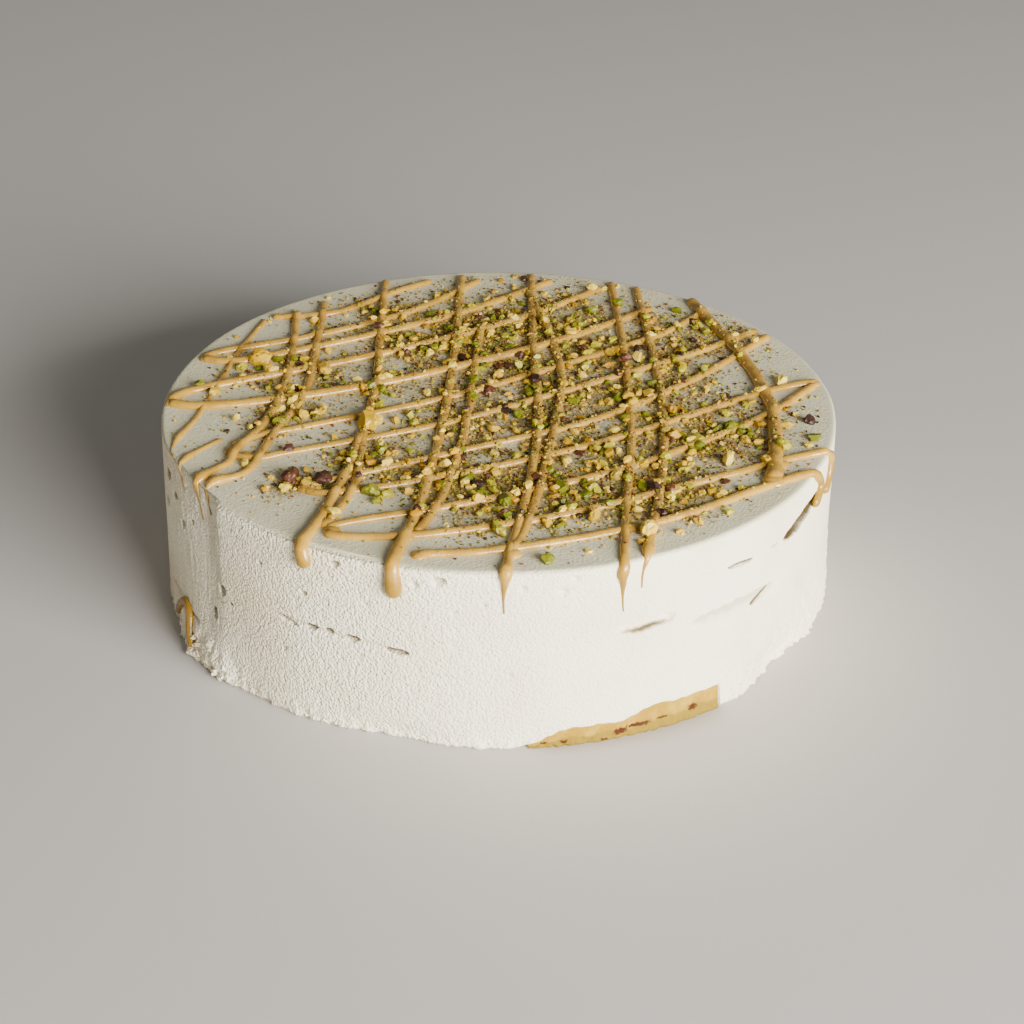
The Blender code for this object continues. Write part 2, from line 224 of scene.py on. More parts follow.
def side_form(azimuth, height):
    """How far the side's broad form stands out from the plain cylinder."""
    out = 0.0
    for at, level, half_width, half_height, stand in SIDE_FORMS:
        turn = turn_between(azimuth, at)
        rise = height / MM - level
        out += stand * MM * math.exp(-(turn / half_width) ** 2 - (rise / half_height) ** 2)
    left = (RIDGE_AZIMUTH - azimuth) % 360
    if left < FLAT_WIDTH:
        share = (height / CAKE_HEIGHT) ** 2
        depth = FLAT_DEPTH_FOOT + (FLAT_DEPTH_TOP - FLAT_DEPTH_FOOT) * share
        out -= depth * (1 - left / FLAT_WIDTH) * min(1.0, left / FLAT_EDGE)
    wave = noise.noise(polar(azimuth, CAKE_RADIUS, height) / SIDE_WAVE_LENGTH)
    return out + SIDE_WAVE * wave


def worn(azimuth, from_rim):
    """How far the rim's corner is worn down, this far from it along the skin."""
    if from_rim > WORN_WIDTH:
        return 0.0
    depth = WORN_DEPTH * nearness(azimuth, WORN_AZIMUTH, WORN_HALF)
    return depth * (1 - from_rim / WORN_WIDTH) ** 2


def tear(azimuth, height):
    """Depth and painted shade of the torn places here: a steep upper lip, a sloping floor."""
    depth, dark = 0.0, 0.0
    for at, level, length, width, deep, tilt, shade in TEARS:
        up = height / MM - level
        if abs(up) > width + length / 3:
            continue
        along = along_side(azimuth, at)
        if abs(along) > length:
            continue
        lean = math.radians(tilt)
        u = (along * math.cos(lean) + up * math.sin(lean)) / (length / 2)
        v = (up * math.cos(lean) - along * math.sin(lean)) / (width / 2)
        v = v / (TEAR_LIP if v > 0 else 1.0)
        v += TEAR_WANDER * noise.noise(Vector((along / TEAR_WANDER_LENGTH, level, 0)))
        inside = 1 - u ** 2 - v ** 2
        if inside > 0:
            depth = max(depth, deep * MM * min(1.0, inside * TEAR_WALL))
            start, slope = UNDER_UPPER_LIP if shade > 0 else AT_LOWER_LIP
            shaded = min(1.0, max(0.0, start + slope * v), inside * SHADE_WALL)
            dark = max(dark, abs(shade) * shaded)
    return depth, dark


def roughness_here(azimuth):
    """How rough the side is: full at the front left, less towards the right."""
    return ROUGH_LEAST + ROUGH_MORE * nearness(azimuth, ROUGHEST_AZIMUTH, ROUGHEST_HALF)


def side_relief(azimuth, height):
    """The fine relief of the side, and the painted shade inside its tears."""
    place = polar(azimuth, CAKE_RADIUS, height)
    rough = roughness_here(azimuth)
    relief = BUMP_DEPTH * rough * noise.noise(place / BUMP_LENGTH)
    pore = noise.noise(place / PORE_LENGTH)
    relief -= PORE_DEPTH * rough * max(0.0, pore) ** 1.5
    left = (RIDGE_AZIMUTH - azimuth) % 360
    if left < FLAT_WIDTH:
        across = math.radians(azimuth) * CAKE_RADIUS / STREAK_WIDTH
        streak = noise.noise(Vector((across, height / STREAK_LENGTH, 3.0)))
        relief += STREAK_DEPTH * streak * min(1.0, 4 * (1 - left / FLAT_WIDTH))
    if height < RAGGED_HEIGHT:
        crumble = noise.noise(place / RAGGED_LENGTH + Vector((5, 5, 5)))
        crumble += RAGGED_GRAINY * noise.noise(place / LUMP_GRAIN)
        relief += RAGGED_DEPTH * crumble * (1 - height / RAGGED_HEIGHT)
    lumpy = nearness(azimuth, LUMP_AZIMUTH, LUMP_HALF)
    if height < LUMP_HEIGHT and lumpy > HARDLY:
        lump = noise.noise(place / LUMP_LENGTH + Vector((2, 7, 1)))
        lump += LUMP_GRAINY * noise.noise(place / LUMP_GRAIN)
        relief += LUMP_DEPTH * lump * lumpy * (1 - height / LUMP_HEIGHT)
    toothed = nearness(azimuth, TEETH_AZIMUTH, TEETH_HALF)
    if height < TEETH_HEIGHT and toothed > HARDLY:
        tooth = noise.noise(place / TEETH_LENGTH + Vector((8, 3, 4)))
        relief += TEETH_DEPTH * tooth * toothed * (1 - height / TEETH_HEIGHT)
    depth, dark = tear(azimuth, height)
    return relief - depth, dark


def azimuth_of(point):
    """The azimuth of a spun point once its columns crowd towards the front."""
    turned = math.atan2(point.x, -point.y)
    return turn_between(math.degrees(turned - FRONT_CROWDING * math.sin(turned)) - 90, 0)


def near_a_tear(azimuth, height):
    """Whether a clear tear or a pit is here, where the skin needs finer faces."""
    for at, level, length, width, _, tilt, shade in TEARS:
        along = along_side(azimuth, at)
        if abs(shade) < CLEAR_SHADE or abs(along) > length / 2 + FINER_MARGIN:
            continue
        up = height / MM - level - along * math.tan(math.radians(tilt))
        if abs(up) < width / 2 + FINER_MARGIN:
            return True
    return False


def even_steps(start, end, step):
    """Values from start towards end, evenly spaced by about one step, without the end."""
    count = max(1, round(abs(end - start) / step))
    return [start + (end - start) * i / count for i in range(count)]


def spun(profile, columns):
    """A closed skin turned about Z from a profile that runs down its outer side."""
    shape = bmesh.new()
    points = [shape.verts.new((radius, 0, height)) for radius, height in profile]
    for upper, lower in zip(points, points[1:]):
        shape.edges.new((upper, lower))
    bmesh.ops.spin(shape, geom=shape.verts[:] + shape.edges[:], cent=(0, 0, 0),
                   axis=(0, 0, 1), angle=math.tau, steps=columns, use_merge=True)
    bmesh.ops.remove_doubles(shape, verts=shape.verts[:], dist=MERGE_GAP)
    bmesh.ops.recalc_face_normals(shape, faces=shape.faces[:])
    return shape


def placed(name, mesh, replaced):
    """The mesh as a piece that rides on the cake's one body and replaces this node."""
    piece = bpy.data.objects.new(name, mesh)
    bpy.context.scene.collection.objects.link(piece)
    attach(piece, "root")
    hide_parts(replaced)
    return piece


def finished(name, shape, replaced):
    """The shape as a smooth-shaded piece, which frees it."""
    mesh = bpy.data.meshes.new(name)
    shape.to_mesh(mesh)
    shape.free()
    mesh.polygons.foreach_set("use_smooth", [True] * len(mesh.polygons))
    return placed(name, mesh, replaced)


def attribute(piece, name, values):
    """Stores one number for each vertex, for the material to read."""
    layer = piece.data.attributes.new(name, 'FLOAT', 'POINT')
    layer.data.foreach_set("value", values)


# Where crumbs drifted: middle, reach and thickness, all seen from the top
DRIFTS = [
    (-64, -10, 11, 0.55), (-62, 22, 15, 0.6), (-10, 44, 24, 0.95), (-36, -36, 13, 0.7),
    (-15, -50, 13, 0.85), (6, -52, 14, 0.9), (26, -44, 15, 0.85), (47, -50, 15, 0.95),
    (63, -17, 17, 1.0), (30, -6, 22, 0.75), (-4, -8, 22, 0.6), (45, 24, 22, 0.65),
    (16, 58, 24, 0.8), (62, 48, 15, 0.55), (-56, -52, 9, 0.5), (-40, 8, 14, 0.3),
    (-4, -68, 12, 0.5), (20, -66, 13, 0.55), (44, -64, 10, 0.5),
    (-35, 60, 18, 0.5), (10, 20, 20, 0.55), (84, -12, 10, 0.12),
]
DRIFT_PATCH = 7.0
DRIFT_LEAST = 0.8
DRIFT_MORE = 0.9


def strewn(x, y):
    """How thickly crumbs lie at this place on top, in mm: patchy drifts."""
    bare = 1.0
    for at_x, at_y, reach, thick in DRIFTS:
        bare *= 1 - thick * math.exp(-((x - at_x) ** 2 + (y - at_y) ** 2) / reach ** 2)
    patch = noise.noise(Vector((x / DRIFT_PATCH, y / DRIFT_PATCH, 7.7)))
    return max(0.0, min(1.0, (1 - bare) * (DRIFT_LEAST + DRIFT_MORE * patch)))


cake_profile = [(r, CAKE_HEIGHT) for r in even_steps(0, CAKE_RADIUS - RIM_WIDTH, TOP_STEP)]
cake_profile += [(r, CAKE_HEIGHT) for r in
                 even_steps(CAKE_RADIUS - RIM_WIDTH, CAKE_RADIUS - RIM_ROUND, SIDE_STEP)]
cake_profile += [(CAKE_RADIUS - RIM_ROUND * (1 - math.sin(a)),
                  CAKE_HEIGHT - RIM_ROUND * (1 - math.cos(a)))
                 for a in even_steps(0, math.pi / 2, math.pi / 8)]
cake_profile += [(CAKE_RADIUS, z) for z in even_steps(CAKE_HEIGHT - RIM_ROUND, 0, SIDE_STEP)]
cake_profile += [(CAKE_RADIUS, 0), (POCKET_RADIUS, 0), (POCKET_RADIUS, POCKET_HEIGHT),
                 (0, POCKET_HEIGHT)]
cake_shape = spun(cake_profile, CAKE_COLUMNS)
torn_skin = {vertex for vertex in cake_shape.verts
             if math.hypot(vertex.co.x, vertex.co.y) > CAKE_RADIUS - RIM_ROUND / 2
             and near_a_tear(azimuth_of(vertex.co), vertex.co.z)}
torn_edges = [edge for edge in cake_shape.edges if torn_skin.issuperset(edge.verts)]
bmesh.ops.subdivide_edges(cake_shape, edges=torn_edges, cuts=2, use_grid_fill=True)
tear_shade_values, dust_values, rough_values = [], [], []
for vertex in cake_shape.verts:
    radius = math.hypot(vertex.co.x, vertex.co.y)
    height = vertex.co.z
    azimuth = azimuth_of(vertex.co)
    tear_shade, dust = 0.0, 0.0
    outer = radius > POCKET_RADIUS + MM
    from_top = CAKE_HEIGHT - height
    from_rim = CAKE_RADIUS - radius
    if height < HEM_BLEND and (outer or height < POCKET_HEIGHT - MM):
        height += hem_height(azimuth) * (1 - height / HEM_BLEND)
    if from_rim < 2 * RIM_ROUND:
        rim_share = min(1.0, 2 - from_rim / RIM_ROUND)
        relief, tear_shade = side_relief(azimuth, height)
        radius += (side_form(azimuth, height) + relief) * rim_share
        radius -= worn(azimuth, from_top)
    if from_top < RIM_ROUND / 2:
        place = polar(azimuth, radius, 0)
        dust = strewn(place.x / MM, place.y / MM)
        height += TOP_WAVE * noise.noise(place / TOP_WAVE_LENGTH) - worn(azimuth, from_rim)
        grainy = max(0.0, 1 - from_rim / RIM_WIDTH)
        grainy *= nearness(azimuth, WORN_AZIMUTH, WORN_HALF)
        height += RIM_GRAIN * grainy * noise.noise(place / PORE_LENGTH)
    vertex.co = polar(azimuth, radius, height)
    tear_shade_values.append(tear_shade)
    dust_values.append(dust)
    on_side = max(0.0, 1 - from_rim / RIM_GRAIN_WIDTH) if from_top < RIM_ROUND / 2 else 1.0
    rough_values.append(roughness_here(azimuth) * on_side)
cake = finished("cream_skin", cake_shape, "cream_cake")
attribute(cake, "tear_shade", tear_shade_values)
attribute(cake, "dust", dust_values)
attribute(cake, "rough", rough_values)


class Wire:
    """A node's output that can be used in sums: each operator adds its Math node."""

    def __init__(self, finish, socket):
        self.finish = finish
        self.socket = socket

    def math(self, operation, first, second):
        return self.finish.add("Math", {"operation": operation}, {0: first, 1: second})

    def __add__(self, other):
        return self.math('ADD', self, other)

    def __radd__(self, other):
        return self.math('ADD', other, self)

    def __sub__(self, other):
        return self.math('SUBTRACT', self, other)

    def __rsub__(self, other):
        return self.math('SUBTRACT', other, self)

    def __mul__(self, other):
        return self.math('MULTIPLY', self, other)

    def __rmul__(self, other):
        return self.math('MULTIPLY', other, self)


class Finish:
    """A material being put together round its Principled shader."""

    def __init__(self, name, **constants):
        self.material = bpy.data.materials.new(name)
        self.material.use_nodes = True
        self.tree = self.material.node_tree
        self.shader = self.tree.nodes["Principled BSDF"]
        for socket, value in constants.items():
            self.shader.inputs[socket.replace("_", " ")].default_value = value
        self.place = self.add("TexCoord", output="Object")

    def add(self, kind, settings=None, inputs=None, output=0):
        """A node of this kind with its settings, then its sockets' values or links."""
        node = self.tree.nodes.new("ShaderNode" + kind)
        for name, value in (settings or {}).items():
            setattr(node, name, value)
        for key, value in (inputs or {}).items():
            self.feed(node.inputs[key], value)
        return Wire(self, node.outputs[output])

    def feed(self, socket, value):
        """Links a wire to the socket, or sets the socket's own value."""
        if isinstance(value, Wire):
            self.tree.links.new(value.socket, socket)
        else:
            socket.default_value = value

    def noise(self, size, detail=2.0, roughness=0.5):
        """Noise from 0 to 1 with blotches of about this size in metres."""
        return self.add("TexNoise", {}, {"Vector": self.place, "Scale": 1 / size,
                                         "Detail": detail, "Roughness": roughness})

    def step(self, value, low, high):
        """0 below low and 1 above high, smooth between."""
        return self.add("MapRange", {"interpolation_type": 'SMOOTHSTEP'},
                        {"Value": value, "From Min": low, "From Max": high})

    def mix(self, share, first, second):
        """One colour turning into another."""
        return self.add("Mix", {"data_type": 'RGBA'}, {0: share, 6: first, 7: second},
                        output=2)

    def read(self, name):
        """A number that the mesh holds for each vertex."""
        return self.add("Attribute", {"attribute_name": name}, output="Fac")

    def bump(self, height, depth, below=None):
        """Raises the surface by height times depth in metres."""
        inputs = {"Height": height, "Distance": depth, "Strength": 1.0}
        if below:
            inputs["Normal"] = below
        return self.add("Bump", {}, inputs)

    def done(self, piece, **links):
        """Feeds the shader and puts the material on the piece."""
        for socket, value in links.items():
            self.feed(self.shader.inputs[socket.replace("_", " ")], value)
        piece.data.materials.clear()
        piece.data.materials.append(self.material)


def paint(red, green, blue):
    """A colour as seen, from 0 to 255, as the shader's linear value."""
    seen = [level / 255 for level in (red, green, blue)]
    return (*[c / 12.92 if c <= 0.04045 else ((c + 0.055) / 1.055) ** 2.4 for c in seen], 1)


CREAM = paint(247, 239, 214)
CREAM_SHADED = paint(238, 226, 194)
CREAM_TEAR_SHADE = paint(84, 68, 34)
CREAM_LIP_SHADOW = paint(34, 13, 4)
CREAM_PORE_SHADE = paint(186, 168, 124)
TOP_SAGE_AND_SHADE = paint(198, 194, 162)
DUST_OLIVE = paint(144, 122, 42)
DUST_BROWN = paint(112, 74, 30)

CREAM_BLOTCH = 22 * MM
CREAM_PORES = 2.2 * MM
CREAM_GRAINS = 0.85 * MM
CREAM_DIMPLES = 1.1 * MM
CREAM_FINE = 0.5 * MM
CREAM_BUMP = 1.1 * MM
CREAM_FINE_BUMP = 0.2 * MM
POWDER_SIZE = 0.9 * MM
POWDER_PATCH = 2.5 * MM

cream = Finish("set_cream", Roughness=0.62, Specular_IOR_Level=0.3)
blotch = cream.noise(CREAM_BLOTCH, 3.0)
pores = cream.noise(CREAM_PORES, 2.0, 0.6)
grains = cream.add("TexVoronoi", {"feature": 'SMOOTH_F1'},
                   {"Vector": cream.place, "Scale": 1 / CREAM_GRAINS, "Smoothness": 0.3})
dimples = cream.step(cream.noise(CREAM_DIMPLES, 1.0), 0.62, 0.74)
grain = cream.noise(CREAM_FINE, 2.0)
cream_colour = cream.mix(cream.step(blotch, 0.35, 0.75), CREAM, CREAM_SHADED)
top_mask = cream.step(cream.add("SeparateXYZ", inputs={0: cream.place}, output=2),
                      CAKE_HEIGHT - 1.2 * MM, CAKE_HEIGHT - 0.3 * MM)
# The top is painted a darker sage than the side: partly a sage tint, partly painted shade for the
# top that the low window barely lights
cream_colour = cream.mix(top_mask * 0.8, cream_colour, TOP_SAGE_AND_SHADE)
tear_shade_mask = cream.read("tear_shade")
rough_mask = cream.read("rough")
# Painted shade in the pores: the dimples are painted darker where the skin is rough
cream_colour = cream.mix(dimples * (rough_mask - 0.5), cream_colour, CREAM_PORE_SHADE)
# Painted shade inside the tears and pits: olive-brown on their floors, a near-black painted
# shadow under their upper lips
cream_colour = cream.mix(cream.step(tear_shade_mask, 0.02, 0.5), cream_colour, CREAM_TEAR_SHADE)
cream_colour = cream.mix(cream.step(tear_shade_mask, 0.86, 0.97), cream_colour, CREAM_LIP_SHADOW)
dust_mask = cream.read("dust")
speckle = cream.noise(POWDER_SIZE, 3.0, 0.7)
powder = cream.step(speckle + dust_mask * 0.34, 0.46, 0.66) * cream.step(dust_mask, 0.02, 0.4)
dust_colour = cream.mix(cream.step(cream.noise(POWDER_PATCH), 0.4, 0.65), DUST_OLIVE, DUST_BROWN)
cream_colour = cream.mix(powder * 0.8, cream_colour, dust_colour)
cream_bump = cream.bump((pores * 0.2 - grains * 0.5 - dimples * 0.2) * (rough_mask - 0.2),
                        CREAM_BUMP)
cream_bump = cream.bump(grain * (rough_mask + 0.25), CREAM_FINE_BUMP, cream_bump)
cream.done(cake, Base_Color=cream_colour, Normal=cream_bump)


# The sponge base: a thin disc of baked sponge that the cream was set on. It shows at the
# front right, where the cream stops short: a smooth tan skin above, crumbs with a few
# browned spots below.
SPONGE_RADIUS = 93 * MM
SPONGE_HEIGHT = 9.5 * MM
SPONGE_RINGS = 16
SPONGE_COLUMNS = 700
SPONGE_BAND = 0.66
SPONGE_GAP = 0.2 * MM
SPONGE_INSET = 0.4 * MM
EASE_IN = 3.0
EASE_OUT = 0.3
SKIN_SHARE = 0.93
CRUMBLY_SHARE = 0.42
CRUMB_STAND = 1.2 * MM
STAND_LEAST = 0.35
CRUMB_RISE = 0.5 * MM
CRUMB_LENGTH = 1.6 * MM
CRUMB_FINE = 1.4
CRUMB_GRAINY = 0.6
FILLS_TO_CREAM = 1.12

# Browned spots: azimuth, height, half width and half height in mm
BROWNED = [
    (-66.9, 3.0, 5.4, 0.9), (-70.0, 2.1, 2.8, 1.4), (-56.8, 3.5, 2.2, 1.5),
    (-79.4, 1.4, 1.6, 0.7), (-82.6, 1.3, 1.5, 0.6), (-72.8, 0.6, 1.5, 0.6),
    (-86.2, 0.9, 1.5, 0.5), (-62.6, 3.3, 2.6, 0.6),
]

sponge_profile = [(0, SPONGE_HEIGHT), (SPONGE_RADIUS, SPONGE_HEIGHT)]
sponge_profile += [(SPONGE_RADIUS, z) for z in
                   even_steps(SPONGE_BAND * SPONGE_HEIGHT, 0, SPONGE_HEIGHT / SPONGE_RINGS)]
sponge_profile += [(SPONGE_RADIUS, 0), (0, 0)]
sponge_shape = spun(sponge_profile, SPONGE_COLUMNS)
browned_values, share_values = [], []
for vertex in sponge_shape.verts:
    radius = math.hypot(vertex.co.x, vertex.co.y)
    azimuth = azimuth_of(vertex.co)
    height = vertex.co.z
    browned, share = 0.0, 1.0
    opened = SHOWN_FROM + EASE_OUT < azimuth < SHOWN_TO
    in_band = radius > SPONGE_RADIUS - MM and height < 0.7 * SPONGE_HEIGHT
    if opened and in_band:
        share = min(1.0, height / (SPONGE_BAND * SPONGE_HEIGHT))
        crown = hem_height(azimuth) - SPONGE_GAP
        height = crown * min(1.0, share * FILLS_TO_CREAM)
        ease = min(1.0, (azimuth - SHOWN_FROM) / EASE_IN, (SHOWN_TO - azimuth) / EASE_OUT)
        reach = CAKE_RADIUS + side_form(azimuth, height + 2 * MM) - SPONGE_INSET
        place = polar(azimuth, CAKE_RADIUS, height)
        if share < CRUMBLY_SHARE:
            crumb = noise.noise(place / CRUMB_LENGTH)
            crumb += CRUMB_GRAINY * noise.noise(place / MM * CRUMB_FINE)
            low = 1 - share / CRUMBLY_SHARE
            reach += CRUMB_STAND * (STAND_LEAST + crumb) * low
            height += CRUMB_RISE * max(0.0, crumb) * low
        if share > SKIN_SHARE:
            reach = min(reach, POCKET_RADIUS)
        radius = SPONGE_RADIUS + (reach - SPONGE_RADIUS) * ease
        for at, level, half_width, half_height in BROWNED:
            along = along_side(azimuth, at) / half_width
            up = (height / MM - level) / half_height
            browned = max(browned, 1 - along ** 2 - up ** 2)
    vertex.co = polar(azimuth, radius, height)
    browned_values.append(browned)
    share_values.append(share)
sponge = finished("sponge_disc", sponge_shape, "sponge_base")
attribute(sponge, "browned", browned_values)
attribute(sponge, "share", share_values)

SPONGE_TAN = paint(156, 122, 26)
SPONGE_PALE = paint(178, 144, 48)
SPONGE_CRUMBLED = paint(132, 108, 26)
SPONGE_TOASTED = paint(68, 29, 0)
SPONGE_BLOTCH = 5 * MM
SPONGE_CRUMB = 0.8 * MM
SPONGE_BUMP = 0.4 * MM

tan = Finish("baked_sponge", Roughness=0.8, Specular_IOR_Level=0.25)
tan_blotch = tan.noise(SPONGE_BLOTCH, 3.0)
tan_crumb = tan.noise(SPONGE_CRUMB, 3.0, 0.65)
tan_colour = tan.mix(tan.step(tan_blotch, 0.4, 0.7), SPONGE_TAN, SPONGE_PALE)
low_share = tan.read("share")
tan_colour = tan.mix(tan.step(low_share + tan_blotch * 0.5, 0.72, 0.56), tan_colour,
                     SPONGE_CRUMBLED)
toasted = tan.step(tan.read("browned") + tan_crumb * 1.6 - 0.9, 0.12, 0.6)
tan_colour = tan.mix(tan.step(tan_crumb, 0.6, 0.75) * 0.2, tan_colour, SPONGE_TOASTED)
tan_colour = tan.mix(toasted, tan_colour, SPONGE_TOASTED)
tan.done(sponge, Base_Color=tan_colour, Normal=tan.bump(tan_crumb, SPONGE_BUMP))


# The caramel sauce: cooked sauce run off a spoon in two passes, first to and fro across
# the cake and then from back to front. It stands on the cream as a round-backed bead,
# pools where the spoon turned, and hangs over the rim in drips.

# Each strand: width, width at its end, and the points it passes, in mm, on the cake's
# skin laid out flat: a point beyond the rim hangs on the side by the extra distance
ACROSS = [
    (2.9, 3.2, [(-22, -91), (5, -87), (43, -73), (78, -50), (90, -43), (97, -41), (99, -48)]),
    (2.9, 2.8, [(-46, -78), (-43, -81), (-21, -80), (17, -69), (61, -47), (92, -31),
                (101, -31), (104, -38)]),
    (2.7, 2.7, [(-46, -77), (-41, -73), (-9, -62), (36, -41), (77, -9), (96, 14)]),
    (2.7, 2.7, [(-54, -54), (-45, -56), (-10, -44), (31, -24), (79, 8), (97, 16)]),
    (2.6, 2.7, [(-54, -53), (-46, -48), (-12, -31), (27, -11), (59, 17), (85, 49)]),
    (2.7, 2.7, [(-77, -29), (-75, -34), (-68, -35), (-59, -31), (-16, -13), (20, 9),
                (58, 34), (82, 53)]),
    (2.7, 2.5, [(-77, -28), (-68, -20), (-56, -15), (-16, 4), (12, 22), (50, 49), (66, 68)]),
    (3.6, 2.5, [(-98, 0), (-88, -2), (-61, 4), (-25, 19), (16, 43), (50, 70)]),
    (3.2, 2.5, [(-98, 1), (-93, 8), (-77, 16), (-40, 33), (2, 58), (34, 86)]),
    (3.2, 2.5, [(-91, 31), (-78, 30), (-41, 48), (-8, 69), (18, 92)]),
    (2.8, 2.5, [(-91, 32), (-84, 37), (-58, 48), (-28, 67), (-6, 92)]),
    (2.6, 2.5, [(-72, 62), (-52, 66), (-34, 82), (-22, 91)]),
]
DOWN = [
    (1.7, 1.2, [(-74, 60), (-80, 38), (-88, -5), (-94, -27), (-93, -34)]),
    (1.6, 1.2, [(-80, -23), (-88, -33), (-92, -41), (-94, -46)]),
    (2.6, 1.4, [(-64, 66), (-64, 20), (-67, -5), (-71, -21), (-75, -29), (-77, -38),
                (-81, -43), (-84.5, -48), (-88, -53.5), (-91, -57.5)]),
    (2.6, 1.4, [(-56, 74), (-57, 20), (-59, 3), (-66, -23), (-68, -33), (-70, -40),
                (-73, -45.5), (-79, -49), (-81.5, -52), (-84, -57), (-85, -60)]),
    (2.7, 5.1, [(-37, 91), (-37, 43), (-37, 9), (-42, -37), (-48, -68), (-53, -84),
                (-55, -91)]),
    (2.5, 2.8, [(-36, 24), (-39, -17), (-40, -50), (-46, -72)]),
    (2.7, 5.4, [(-12, 95), (-14, 26), (-17, -22), (-22, -65), (-27, -90), (-30, -105)]),
    (2.5, 2.8, [(-5, 60), (-7, 28), (-10, -21), (-16, -60), (-22, -79)]),
    (2.7, 1.2, [(11, 96), (11, 39), (12, -11), (8, -58), (3, -92), (2, -104), (2, -112)]),
    (2.6, 2.6, [(10, 83), (19, 28), (17, -11), (10, -64), (4, -90)]),
    (2.6, 1.2, [(37, 90), (39, 41), (39, -18), (36, -60), (34, -92), (36, -101), (39, -108)]),
    (2.6, 1.2, [(45, 86), (49, 11), (48, -29), (44, -66), (40, -91), (42, -100)]),
    (3.8, 5.2, [(62, 76), (74, 39), (81, 4), (81, -20), (78, -49)]),
]
# Pools where the spoon turned or strands ran together: place and half width in mm
POOLS = [
    (-45, -78, 2.5), (-53.5, -53.5, 2.6), (-97, 0.5, 2.4), (-90, 31.5, 2.2),
    (78, -48, 3.6), (-21, -91, 2.2), (-46.5, -73.5, 2.6), (-24.5, -80.5, 2.6),
    (-76.5, -31, 2.3), (4, -90, 2.6), (96, 15, 1.9), (81, -38, 2.4), (-72, -33, 2.0),
]
STRAND_SIDES = 14
STRAND_STEP = 1.3
FULLER = 1.02
BEAD_LIFT = 0.10
BEAD_HEIGHT = 0.40
CROSSING_RISE = 0.8 * MM
CROSSING_REACH = 2.0
THREAD_WIDTH = 1.6
THREAD_LENGTH = 13.0
THREAD_SHARES = (0.18, 0.2, 0.62)
THREAD_FROM = 0.4
THREAD_OVER = 0.5
DROP_AT = 0.95
DROP_REACH = 0.22
DROP_SWELL = 0.4
WIDTH_WOBBLE = 0.13
WOBBLE_LENGTH = 7.0
FINE_LENGTH = 2.3
PATH_WOBBLE = 0.35
PATH_LENGTH = 11.0
STRAND_SEED = 3.1
THIN_TIP = 0.25
BLUNT_TIP = 0.22
POOL_SIDES = 24
POOL_FLATNESS = 0.55
DUST_LEAST = 0.1
DUST_MORE = 0.6

# A smear of sauce at the foot on the left: azimuth and height, then its widths in mm
FOOT_SMEAR = [(-160, 5), (-158, 9.5), (-155, 12.5), (-153, 11.5), (-152, 8.5), (-151, 5),
              (-150, 2.5)]
SMEAR_WIDTHS = (3.0, 2.4)
SMEAR_NUMBER = 90


def skin(x, y):
    """A point of the flat layout put on the cake, and the way the skin faces there."""
    azimuth = math.degrees(math.atan2(y, x))
    rim = CAKE_RADIUS + side_form(azimuth, CAKE_HEIGHT)
    past = math.hypot(x, y) * MM - (rim - RIM_ROUND)
    if past <= 0:
        height = CAKE_HEIGHT - worn(azimuth, RIM_ROUND - past)
        return Vector((x * MM, y * MM, height)), Vector((0, 0, 1))
    arc = RIM_ROUND * math.pi / 2
    if past < arc:
        angle = past / RIM_ROUND
        facing = polar(azimuth, math.sin(angle), math.cos(angle))
        corner = polar(azimuth, rim - RIM_ROUND, CAKE_HEIGHT - RIM_ROUND)
        return corner + (RIM_ROUND - worn(azimuth, 0)) * facing, facing
    height = CAKE_HEIGHT - RIM_ROUND - (past - arc)
    out = CAKE_RADIUS + side_form(azimuth, height) - worn(azimuth, CAKE_HEIGHT - height)
    return polar(azimuth, out, height), polar(azimuth, 1, 0)


def smooth_route(points, step):
    """Points about a step apart on a smooth curve through the given ones, in mm, each
    with its share of the way."""
    ends = [points[0]] + points + [points[-1]]
    spans = len(points) - 1
    route = []
    for span in range(spans):
        before, start, end, after = [Vector(p) for p in ends[span:span + 4]]
        count = max(2, round((end - start).length / step))
        for i in range(count):
            t = i / count
            point = 0.5 * (2 * start + (end - before) * t
                           + (2 * before - 5 * start + 4 * end - after) * t ** 2
                           + (3 * start - 3 * end + after - before) * t ** 3)
            route.append((point, (span + t) / spans))
    route.append((Vector(points[-1]), 1.0))
    return route


def bead(stations):
    """A sauce bead through these stations: middle, way along, facing, half width and
    half height. A ring is drawn at the first and extruded from each to the next."""
    frames = []
    for middle, along, facing, half_width, half_height in stations:
        sideways = along.cross(facing).normalized()
        facing = sideways.cross(along).normalized()
        turn = Matrix((sideways, facing, along)).transposed().to_4x4()
        size = Matrix.Diagonal((half_width, half_height, 1, 1))
        frames.append(Matrix.Translation(middle) @ turn @ size)
    shape = bmesh.new()
    bmesh.ops.create_circle(shape, segments=STRAND_SIDES, radius=1.0, matrix=frames[0])
    edges = shape.edges[:]
    bmesh.ops.contextual_create(shape, geom=edges)
    for before, after in zip(frames, frames[1:]):
        made = bmesh.ops.extrude_edge_only(shape, edges=edges)["geom"]
        ring = [item for item in made if isinstance(item, bmesh.types.BMVert)]
        edges = [item for item in made if isinstance(item, bmesh.types.BMEdge)]
        bmesh.ops.transform(shape, matrix=after @ before.inverted(), verts=ring)
    bmesh.ops.contextual_create(shape, geom=edges)
    bmesh.ops.recalc_face_normals(shape, faces=shape.faces[:])
    return shape


def tip_share(from_end, half_width):
    """How much of its width a bead has this far from its round end."""
    if from_end >= half_width:
        return 1.0
    return max(BLUNT_TIP, math.sqrt(1 - (1 - from_end / half_width) ** 2))


